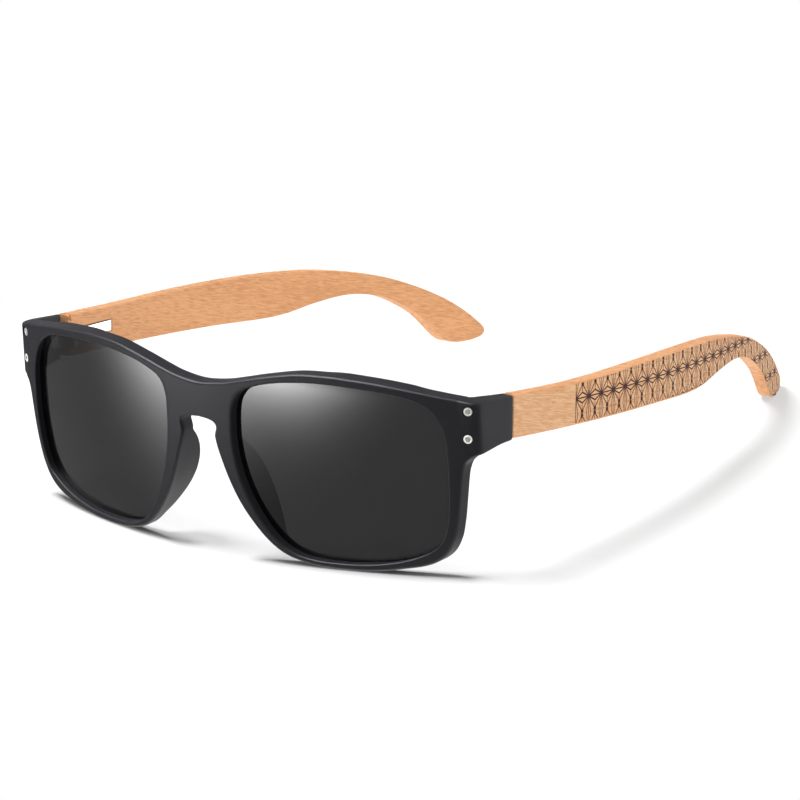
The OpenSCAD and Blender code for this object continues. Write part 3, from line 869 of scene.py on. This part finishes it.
def bowed_side(s, back, out):
    """Distance of the bowed strip from the middle plane, from its inner face at 0 to its outer one at 1."""
    bow_x = s.side_x - math.sqrt(s.temple_bow ** 2 - s.bow_back ** 2)
    outer = bow_x + np.sqrt(s.temple_bow ** 2 - (back - s.bow_back) ** 2)
    inner = bow_x + np.sqrt((s.temple_bow - s.temple_thick) ** 2 - (back - s.bow_back) ** 2)
    return inner + (outer - inner) * out


def pattern_marks(s, points, joint_y):
    """Place of each point in the engraving: stars along the leaning row, and half rows up from it."""
    bowed = (points[..., 1] - joint_y - s.bow_back) / s.temple_bow
    arc = s.temple_bow * (np.arcsin(bowed) + math.asin(s.bow_back / s.temple_bow))
    ahead, up = arc - s.pattern_start, points[..., 2] - s.pattern_z
    cosine, sine = math.cos(s.pattern_lean), math.sin(s.pattern_lean)
    stars = (ahead * cosine - up * sine) / s.pattern_pitch
    half_rows = (up * cosine + ahead * sine) / (s.pattern_rise - PATTERN_TAPER * ahead)
    return np.stack([stars, half_rows], axis=-1)


def coil_patch(s):
    """A coil spring: a circle carried along a helix, with closed ends."""
    turns = np.linspace(0, COIL_TURNS, COIL_TURNS * COIL_STEPS + 1)
    around = 2 * math.pi * turns
    out = np.stack([np.cos(around), 0 * around, np.sin(around)], axis=1)
    back = s.coil_start + (s.coil_end - s.coil_start) * turns / COIL_TURNS
    path = s.coil_radius * out + np.stack([np.full_like(back, s.coil_x), back, 0 * back], axis=1)
    turn = np.linspace(0, 2 * math.pi, WIRE_SIDES, endpoint=False)[:, None]
    ring = np.cos(turn) * out[:, None] + np.sin(turn) * np.array([0, 1, 0])
    rings = path[:, None] + s.coil_wire / 2 * ring
    first, last = (np.tile(path[number], (1, WIRE_SIDES, 1)) for number in (0, -1))
    closed = np.concatenate([first, rings, last])
    return patch(turned(closed, hinge_turn(s, -s.temple_chord)), wrap_columns=True)


# Materials


class Shader:
    """Adds nodes to one shader tree and links them."""

    def __init__(self, tree):
        self.tree = tree

    def feed(self, socket, value):
        """Links a socket to another one or sets its value."""
        if isinstance(value, bpy.types.NodeSocket):
            self.tree.links.new(value, socket)
        else:
            socket.default_value = value

    def add(self, kind, inputs=None, **choices):
        """A new node with its choices and inputs."""
        node = self.tree.nodes.new(kind)
        for name, value in choices.items():
            setattr(node, name, value)
        for name, value in (inputs or {}).items():
            self.feed(node.inputs[name], value)
        return node

    def math(self, operation, *values):
        """The result of a sum on one to three values."""
        return self.add("ShaderNodeMath", dict(enumerate(values)), operation=operation).outputs[0]

    def range(self, value, low, high, start=0.0, end=1.0):
        """A smooth step of a value between two limits."""
        inputs = {"Value": value, "From Min": low, "From Max": high, "To Min": start, "To Max": end}
        return self.add("ShaderNodeMapRange", inputs, interpolation_type="SMOOTHSTEP").outputs[0]

    def mix(self, share, first, second):
        """A mix of two colours."""
        return self.add("ShaderNodeMix", {0: share, 6: first, 7: second}, data_type="RGBA").outputs[2]

    def noise(self, vector, scale=1.0, detail=3.0, distortion=0.0):
        """A noise value between 0 and 1."""
        inputs = {"Vector": vector, "Scale": scale, "Detail": detail, "Distortion": distortion}
        return self.add("ShaderNodeTexNoise", inputs).outputs[0]

    def place(self, vector, scale=(1, 1, 1), turn=(0, 0, 0)):
        """A vector turned and scaled."""
        inputs = {"Vector": vector, "Scale": scale, "Rotation": turn}
        return self.add("ShaderNodeMapping", inputs).outputs[0]

    def group(self, name, inputs):
        """A node of one of the shared groups, with its inputs."""
        return self.add("ShaderNodeGroup", inputs, node_tree=bpy.data.node_groups[name])


def new_group(name, inputs, outputs):
    """An empty shader node group with its sockets, its builder and its input and output nodes."""
    tree = bpy.data.node_groups.new(name, "ShaderNodeTree")
    for socket, kind, value in inputs:
        made = tree.interface.new_socket(name=socket, in_out="INPUT", socket_type=kind)
        if value is not None:
            made.default_value = value
    for socket, kind in outputs:
        tree.interface.new_socket(name=socket, in_out="OUTPUT", socket_type=kind)
    build = Shader(tree)
    return build, build.add("NodeGroupInput"), build.add("NodeGroupOutput")


def engraving_group():
    """A hemp-leaf lattice: rows of stars, folded into one quarter of a cell, as a mask of burnt lines."""
    build, given, result = new_group(
        "engraving",
        [("Marks", "NodeSocketVector", None), ("Width", "NodeSocketFloat", LINE_WIDTH)],
        [("Lines", "NodeSocketFloat"), ("Face", "NodeSocketFloat")],
    )
    marks = build.add("ShaderNodeSeparateXYZ", {0: given.outputs["Marks"]})
    stars, half_rows = marks.outputs[0], marks.outputs[1]
    across = build.math("MULTIPLY", build.math("PINGPONG", stars, 0.5), CELL_PITCH)
    upward = build.math("MULTIPLY", build.math("PINGPONG", half_rows, 1.0), CELL_RISE)
    half = CELL_PITCH / 2
    rhomb = CELL_RISE / 3

    def line(distance, share=1.0, strength=1.0):
        """A burnt line where the distance is less than a share of the lines' width."""
        edge = build.math("MULTIPLY", given.outputs["Width"], share)
        return build.range(build.math("DIVIDE", distance, edge), *LINE_EDGE, strength, 0.0)

    def slanted(x, y):
        """Distance from the line that runs from the star to a place of the cell."""
        size = math.hypot(x, y)
        first = build.math("MULTIPLY", across, y / size)
        return build.math("ABSOLUTE", build.math("MULTIPLY_ADD", upward, -x / size, first))

    def distance(x, y):
        """Distance from a point, given how far aside and how far up it lies."""
        squares = (build.math("POWER", value, 2.0) for value in (x, y))
        return build.math("SQRT", build.math("ADD", *squares))

    dot_x = build.math("SUBTRACT", half, across)
    dot_y = build.math("ABSOLUTE", build.math("SUBTRACT", upward, CELL_RISE - DOT_DROP))
    rhomb_edge = build.math("MULTIPLY_ADD", across, rhomb / half, RHOMB_MARGIN)
    past_rhomb = build.math("LESS_THAN", rhomb_edge, upward)
    lines = [
        line(upward, share=0.9),
        line(slanted(half, rhomb)),
        line(slanted(half, CELL_RISE - DOT_DROP), share=0.85, strength=0.95),
        line(across, share=0.65, strength=0.9),
        line(slanted(FAN_ASIDE, CELL_RISE), share=0.65, strength=0.9),
        build.math("MULTIPLY", line(dot_x, share=0.65, strength=0.9), past_rhomb),
        line(build.math("SUBTRACT", CELL_RISE, upward), share=0.45, strength=0.4),
        line(distance(dot_x, dot_y), share=3.0),
        line(distance(across, upward), share=3.5),
    ]
    strongest = lines[0]
    for one in lines[1:]:
        strongest = build.math("MAXIMUM", strongest, one)
    begun = build.math("GREATER_THAN", stars, 0.0)
    from_start = build.math("MULTIPLY", build.math("ABSOLUTE", stars), CELL_PITCH)
    start = line(from_start, share=0.8, strength=0.8)
    strongest = build.math("MAXIMUM", build.math("MULTIPLY", strongest, begun), start)
    build.feed(result.inputs["Lines"], strongest)
    build.feed(result.inputs["Face"], build.math("GREATER_THAN", stars, PATTERN_LIMIT))


def grain_group():
    """Beech: soft tone bands along the wood, fine fibres and short dark flecks, with their relief."""
    build, given, result = new_group(
        "wood_grain",
        [("Vector", "NodeSocketVector", None)],
        [("Tone", "NodeSocketFloat"), ("Fleck", "NodeSocketFloat"), ("Relief", "NodeSocketFloat")],
    )
    where = build.place(given.outputs["Vector"], turn=(math.radians(GRAIN_SLOPE), 0, 0))
    bands = build.noise(build.place(where, BAND_REPEATS))
    fibres = build.noise(build.place(where, FIBRE_REPEATS), distortion=0.3)
    flecks = build.noise(build.place(where, FLECK_REPEATS), detail=1.0)
    base = build.math("MULTIPLY", bands, 1 - FIBRE_SHARE)
    tone = build.math("MULTIPLY_ADD", fibres, FIBRE_SHARE, base)
    build.feed(result.inputs["Tone"], build.range(tone, *TONE_RANGE))
    build.feed(result.inputs["Fleck"], build.range(flecks, *FLECK_RANGE))
    build.feed(result.inputs["Relief"], build.math("ADD", fibres, flecks))


def satin_group():
    """A fine even grain of a moulded or brushed surface: an uneven roughness and a low relief."""
    build, given, result = new_group(
        "satin",
        [("Vector", "NodeSocketVector", None), ("Roughness", "NodeSocketFloat", 0.4)],
        [("Roughness", "NodeSocketFloat"), ("Relief", "NodeSocketFloat")],
    )
    fine = build.noise(given.outputs["Vector"], SATIN_FINE, detail=2.0)
    broad = build.noise(given.outputs["Vector"], SATIN_BROAD, detail=2.0)
    uneven = build.math("MULTIPLY_ADD", broad, SATIN_SPREAD, -SATIN_SPREAD / 2)
    build.feed(result.inputs["Roughness"], build.math("ADD", given.outputs["Roughness"], uneven))
    build.feed(result.inputs["Relief"], fine)


def new_material(name):
    """A material with its builder, its main shader and the object's own coordinates."""
    material = bpy.data.materials.new(name)
    material.use_nodes = True
    build = Shader(material.node_tree)
    shader = material.node_tree.nodes["Principled BSDF"]
    where = build.add("ShaderNodeTexCoord").outputs["Object"]
    return material, build, shader, where


def satin_material(name, tint, roughness, relief, metal=0.0, coat=0.0, mirror=0.5):
    """A plastic or metal with a fine satin grain."""
    material, build, shader, where = new_material(name)
    satin = build.group("satin", {"Vector": where, "Roughness": roughness})
    height = satin.outputs["Relief"]
    bump = build.add("ShaderNodeBump", {"Height": height, "Strength": relief, "Distance": 0.00002})
    shader.inputs["Base Color"].default_value = (*tint, 1)
    shader.inputs["Metallic"].default_value = metal
    shader.inputs["Coat Weight"].default_value = coat
    shader.inputs["Coat Roughness"].default_value = 0.2
    shader.inputs["Specular IOR Level"].default_value = mirror
    build.feed(shader.inputs["Roughness"], satin.outputs["Roughness"])
    build.feed(shader.inputs["Normal"], bump.outputs[0])
    return material


def dull_steel(colours):
    """The darker steel of hinges and springs, made once."""
    made = bpy.data.materials.get("dull_steel")
    if made is None:
        darker = [0.75 * part for part in colours.steel]
        made = satin_material("dull_steel", darker, roughness=0.38, relief=0.1, metal=1.0)
    return made


def lens_material(tint):
    """A dark lens with a polished face."""
    material, build, shader, where = new_material("dark_lens")
    haze = build.noise(where, scale=40.0, detail=2.0)
    shader.inputs["Base Color"].default_value = (*tint, 1)
    shader.inputs["IOR"].default_value = 1.5
    shader.inputs["Alpha"].default_value = 0.87
    build.feed(shader.inputs["Roughness"], build.math("MULTIPLY_ADD", haze, 0.02, 0.05))
    return material


def wood_material(colours):
    """Beech with burnt lines on the outer face."""
    material, build, shader, where = new_material("engraved_beech")
    grain = build.group("wood_grain", {"Vector": where})
    pattern = build.add("ShaderNodeUVMap", uv_map="pattern").outputs[0]
    engraving = build.group("engraving", {"Marks": pattern})
    plain = build.mix(engraving.outputs["Face"], (*colours.wood, 1), (*colours.wood_pale, 1))
    for detail, weight in (("Tone", TONE_WEIGHT), ("Fleck", FLECK_WEIGHT)):
        amount = build.math("MULTIPLY", grain.outputs[detail], weight)
        plain = build.mix(amount, plain, (*colours.wood_dark, 1))
    burnt = build.mix(engraving.outputs["Lines"], plain, (*colours.burn, 1))
    build.feed(shader.inputs["Base Color"], burnt)
    shader.inputs["Roughness"].default_value = 0.55
    shader.inputs["Specular IOR Level"].default_value = 0.15
    sunk = build.math("MULTIPLY_ADD", engraving.outputs["Lines"], -BURNT_DEPTH, grain.outputs["Relief"])
    bump = build.add("ShaderNodeBump", {"Height": sunk, "Strength": 0.5, "Distance": 0.00006})
    build.feed(shader.inputs["Normal"], bump.outputs[0])
    return material


def dress(piece, material):
    """Gives a piece its only material, in each of its slots where it has some."""
    if not piece.material_slots:
        piece.data.materials.append(material)
    for slot in piece.material_slots:
        slot.material = material


# Operators


def settings():
    """The scene's sizes in millimetres and its colours."""
    scene = bpy.context.scene
    return in_millimetres(scene.sunglasses_sizes), scene.sunglasses_colours


class SUNGLASSES_OT_materials(bpy.types.Operator):
    """Make the node groups that the materials share"""

    bl_idname = "sunglasses.materials"
    bl_label = "Shared material effects"

    def execute(self, context):
        engraving_group()
        grain_group()
        satin_group()
        return {"FINISHED"}


class SUNGLASSES_OT_front(bpy.types.Operator):
    """Build the plastic front with its nose pads and end pieces"""

    bl_idname = "sunglasses.front"
    bl_label = "Front"

    def execute(self, context):
        s, colours = settings()
        half = kept_inside(front_half(s))
        piece = mesh_object("front_shell", half + mirrored(half))
        cutters = [hinge_room(s, side) for side in (1, -1)]
        for side in (1, -1):
            for height in (s.rivet_high, s.rivet_low):
                place = rivet_turn(s, height, side)
                cutters.append(tube(RIVET_SEAT, s.rivet_wide * RIVET_SEAT_SHARE, place))
        cut(piece, cutters)
        plastic = satin_material(
            "satin_plastic", colours.plastic, roughness=0.5, relief=0.12, coat=0.06, mirror=0.12
        )
        dress(piece, plastic)
        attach(piece, "front")
        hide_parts("front_frame")
        return {"FINISHED"}


class SUNGLASSES_OT_lenses(bpy.types.Operator):
    """Build the two dark lenses"""

    bl_idname = "sunglasses.lenses"
    bl_label = "Lenses"

    def execute(self, context):
        s, colours = settings()
        material = lens_material(colours.lens)
        patches = lens_patches(s, curve_line(EYE_LINE, closed=True))
        for side, shape in (("left", patches), ("right", mirrored(patches))):
            piece = mesh_object(f"{side}_dark_lens", shape)
            dress(piece, material)
            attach(piece, "front")
            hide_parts(f"{side}_lens")
        return {"FINISHED"}


class SUNGLASSES_OT_temples(bpy.types.Operator):
    """Build the two engraved wooden temples"""

    bl_idname = "sunglasses.temples"
    bl_label = "Temples"

    def execute(self, context):
        s, colours = settings()
        material = wood_material(colours)
        left = mesh_object("left_wood", kept_inside(temple_patches(s)))
        slot = block(*HOUSING_SLOT, hinge_turn(s, -s.temple_chord))
        slit = block(*TEMPLE_SLIT, hinge_turn(s))
        cut(left, [hinge_room(s, 1), slot, slit])
        for side, piece in (("left", left), ("right", mirror_piece(left, "right_wood"))):
            dress(piece, material)
            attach(piece, f"{side}_temple_unit")
            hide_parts(f"{side}_temple")
        return {"FINISHED"}


class SUNGLASSES_OT_rivets(bpy.types.Operator):
    """Build the ringed rivet heads on the front corners"""

    bl_idname = "sunglasses.rivets"
    bl_label = "Rivets"

    def execute(self, context):
        s, colours = settings()
        pale = satin_material("pale_rivet", colours.rivet, roughness=0.5, relief=0.05, metal=0.3)
        darker = [0.4 * part for part in colours.rivet]
        grey = satin_material("grey_rivet", darker, roughness=0.5, relief=0.05, metal=0.3)
        for side, sign in SIDES:
            places = [rivet_turn(s, height, sign) for height in (s.rivet_high, s.rivet_low)]
            for name, material, (share, height) in (("rings", pale, RIVET_RING), ("cores", grey, RIVET_CORE)):
                reach = np.array(share) * s.rivet_wide / 2
                piece = mesh_object(f"{side}_rivet_{name}", [revolved(reach, height, at) for at in places])
                dress(piece, material)
                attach(piece, "front")
                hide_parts(f"{side}_rivets")
        return {"FINISHED"}


class SUNGLASSES_OT_hinges(bpy.types.Operator):
    """Finish the metal pieces of the spring hinges"""

    bl_idname = "sunglasses.hinges"
    bl_label = "Hinges"

    def execute(self, context):
        _, colours = settings()
        bright = satin_material("bright_steel", colours.steel, roughness=0.22, relief=0.05, metal=1.0)
        brass = satin_material("brass", colours.brass, roughness=0.3, relief=0.05, metal=1.0)
        dull = dull_steel(colours)
        finishes = {
            "front_hinge": dull, "carriage": dull, "hinge_screw": bright, "guide_pin": bright,
            "stop_bush": brass, "spring_housing": bright,
        }
        for side, _ in SIDES:
            for node, material in finishes.items():
                dress(bpy.data.objects[f"{side}_{node}"], material)
        return {"FINISHED"}


class SUNGLASSES_OT_springs(bpy.types.Operator):
    """Build the coil springs, which in the real hinge shorten between stop bush and pin head; these coils
    keep one length
    """

    bl_idname = "sunglasses.springs"
    bl_label = "Springs"

    def execute(self, context):
        s, colours = settings()
        coil = [coil_patch(s)]
        for side, sign in SIDES:
            piece = mesh_object(f"{side}_coil", coil if sign > 0 else mirrored(coil))
            dress(piece, dull_steel(colours))
            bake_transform(piece)
            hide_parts(f"{side}_spring")
        return {"FINISHED"}


class SUNGLASSES_OT_stage(bpy.types.Operator):
    """Set up the white floor, the lights, the surroundings and the camera"""

    bl_idname = "sunglasses.stage"
    bl_label = "Stage"

    def execute(self, context):
        make_floor()
        make_lights()
        make_world()
        make_camera()
        context.scene.view_settings.view_transform = "Standard"
        return {"FINISHED"}


def make_floor():
    """A white disc under the object that keeps its shadow."""
    disc = revolved([0, FLOOR_REACH], [FLOOR_Z, FLOOR_Z], Matrix.Identity(4), FLOOR_STEPS)
    floor = mesh_object("floor", [disc])
    material, _, shader, _ = new_material("white_floor")
    shader.inputs["Base Color"].default_value = (FLOOR_SHADE, FLOOR_SHADE, FLOOR_SHADE, 1)
    shader.inputs["Roughness"].default_value = 0.9
    shader.inputs["Specular IOR Level"].default_value = 0.0
    dress(floor, material)
    floor.visible_glossy = False


def make_lamp(name, place, size, power):
    """A round soft lamp at a place in metres that faces the object."""
    data = bpy.data.lights.new(name, "AREA")
    data.shape = "DISK"
    data.size = size
    data.energy = power
    lamp = bpy.data.objects.new(name, data)
    lamp.location = place
    lamp.rotation_euler = (Vector(LAMP_AIM) - lamp.location).to_track_quat("-Z", "Y").to_euler()
    bpy.context.scene.collection.objects.link(lamp)
    return lamp


def link_group(name, pieces):
    """A collection of pieces for the choice of what a lamp lights or what stops its light."""
    group = bpy.data.collections.new(name)
    for piece in pieces:
        group.objects.link(piece)
    return group


def make_lights():
    """A soft key for the object, and two lamps that draw the shadows of temple and rims on the floor."""
    objects = bpy.data.objects
    floor = link_group("lit_floor", [objects["floor"]])
    key = make_lamp("key", (-0.57, -0.47, 1.07), size=0.26, power=2.2)
    unlit = link_group("lit_pieces", [objects["floor"]])
    key.light_linking.receiver_collection = unlit
    unlit.collection_objects[0].light_linking.link_state = "EXCLUDE"
    slanted = make_lamp("floor_key", (-0.35, -0.22, 1.08), size=0.42, power=29.0)
    above = make_lamp("floor_top", (-0.09, -0.06, 1.0), size=0.16, power=26.0)
    blockers = (
        (slanted, "side_blockers", ("left_wood", "front_shell")),
        (above, "rim_blockers", ("left_dark_lens", "right_dark_lens")),
    )
    for lamp, name, pieces in blockers:
        lamp.light_linking.receiver_collection = floor
        lamp.light_linking.blocker_collection = link_group(name, [objects[piece] for piece in pieces])


def make_world():
    """White surroundings for the camera, even light, and soft bright windows for the mirror of the lenses."""
    world = bpy.data.worlds.new("surroundings")
    bpy.context.scene.world = world
    world.use_nodes = True
    build = Shader(world.node_tree)
    background = world.node_tree.nodes["Background"]
    background.inputs["Color"].default_value = (1, 1, 1, 1)
    ray = build.add("ShaderNodeLightPath")
    way = build.add("ShaderNodeTexCoord").outputs["Generated"]
    x, y, z = build.add("ShaderNodeSeparateXYZ", {0: way}).outputs

    def facing(direction):
        """How far a ray looks in a direction."""
        node = build.add("ShaderNodeVectorMath", {0: way, 1: direction}, operation="DOT_PRODUCT")
        return node.outputs["Value"]

    bearing = build.math("ARCTAN2", x, build.math("MULTIPLY", y, -1.0))
    below = build.math("SUBTRACT", build.math("MINIMUM", z, LOW_WINDOW_TOP), LOW_WINDOW_TOP)
    glow = 0.0
    for centre, spread, fade, level in LOW_WINDOWS:
        aside = build.math("SUBTRACT", bearing, math.radians(centre))
        square = build.math("MULTIPLY", aside, aside)
        sideways = build.math("MULTIPLY", square, -0.5 / math.radians(spread) ** 2)
        power = build.math("MULTIPLY_ADD", below, 1 / fade, sideways)
        glow = build.math("MULTIPLY_ADD", build.math("EXPONENT", power), level, glow)
    glow = build.math("MULTIPLY", glow, build.range(z, LOW_WINDOW_TOP, LOW_WINDOW_EDGE, 1.0, 0.0))
    mirror = glow
    for direction, *limits in BRIGHT_AREAS:
        mirror = build.math("ADD", mirror, build.range(facing(direction), *limits))
    plain = build.math("MULTIPLY_ADD", ray.outputs["Is Camera Ray"], SEEN_LEVEL - EVEN_LEVEL, EVEN_LEVEL)
    shown = build.add("ShaderNodeMix", {0: ray.outputs["Is Glossy Ray"], 2: plain, 3: mirror})
    build.feed(background.inputs["Strength"], shown.outputs[0])


def make_camera():
    """The camera of the picture: bearing, height and roll about a target, in millimetres and degrees."""
    bearing, height, roll = np.radians([39.607, 17.831, -3.913])
    distance, aside, upward = 1362.56, 7.380, -0.454
    target = np.array([0, -19.81, 20])
    right = np.array([math.cos(bearing), math.sin(bearing), 0])
    back = np.array([
        math.sin(bearing) * math.cos(height), -math.cos(bearing) * math.cos(height), math.sin(height),
    ])
    up = np.cross(back, right)
    rolled_right = right * math.cos(roll) + up * math.sin(roll)
    rolled_up = up * math.cos(roll) - right * math.sin(roll)
    eye = target + back * distance + rolled_right * aside + rolled_up * upward
    data = bpy.data.cameras.new("camera")
    data.lens = 250.2
    data.sensor_width = 36
    data.clip_end = 10
    camera = bpy.data.objects.new("camera", data)
    axes = np.eye(4)
    axes[:3, :3] = np.stack([rolled_right, rolled_up, back], axis=1)
    axes[:3, 3] = eye / 1000
    camera.matrix_world = Matrix(axes)
    bpy.context.scene.collection.objects.link(camera)
    bpy.context.scene.camera = camera


class SUNGLASSES_PT_panel(bpy.types.Panel):
    """Lists the building steps and the sizes and colours they use"""

    bl_idname = "SUNGLASSES_PT_panel"
    bl_label = "Sunglasses"
    bl_space_type = "VIEW_3D"
    bl_region_type = "UI"
    bl_category = "Sunglasses"

    def draw(self, context):
        for step in STEPS:
            self.layout.operator(step.bl_idname)
        for group in (context.scene.sunglasses_sizes, context.scene.sunglasses_colours):
            for name in group.__annotations__:
                self.layout.prop(group, name)


STEPS = (
    SUNGLASSES_OT_materials, SUNGLASSES_OT_front, SUNGLASSES_OT_lenses, SUNGLASSES_OT_temples,
    SUNGLASSES_OT_rivets, SUNGLASSES_OT_hinges, SUNGLASSES_OT_springs, SUNGLASSES_OT_stage,
)
CLASSES = (SunglassesSizes, SunglassesColours, *STEPS, SUNGLASSES_PT_panel)


def register():
    """Registers the classes and the scene's settings."""
    for each in CLASSES:
        bpy.utils.register_class(each)
    bpy.types.Scene.sunglasses_sizes = PointerProperty(type=SunglassesSizes)
    bpy.types.Scene.sunglasses_colours = PointerProperty(type=SunglassesColours)


def unregister():
    """Removes the settings and the classes."""
    del bpy.types.Scene.sunglasses_colours
    del bpy.types.Scene.sunglasses_sizes
    for each in reversed(CLASSES):
        bpy.utils.unregister_class(each)


def main():
    """Builds the pieces in order."""
    register()
    bpy.ops.sunglasses.materials()
    bpy.ops.sunglasses.front()
    bpy.ops.sunglasses.lenses()
    bpy.ops.sunglasses.temples()
    bpy.ops.sunglasses.rivets()
    bpy.ops.sunglasses.hinges()
    bpy.ops.sunglasses.springs()
    bpy.ops.sunglasses.stage()


if __name__ == "__main__":
    main()
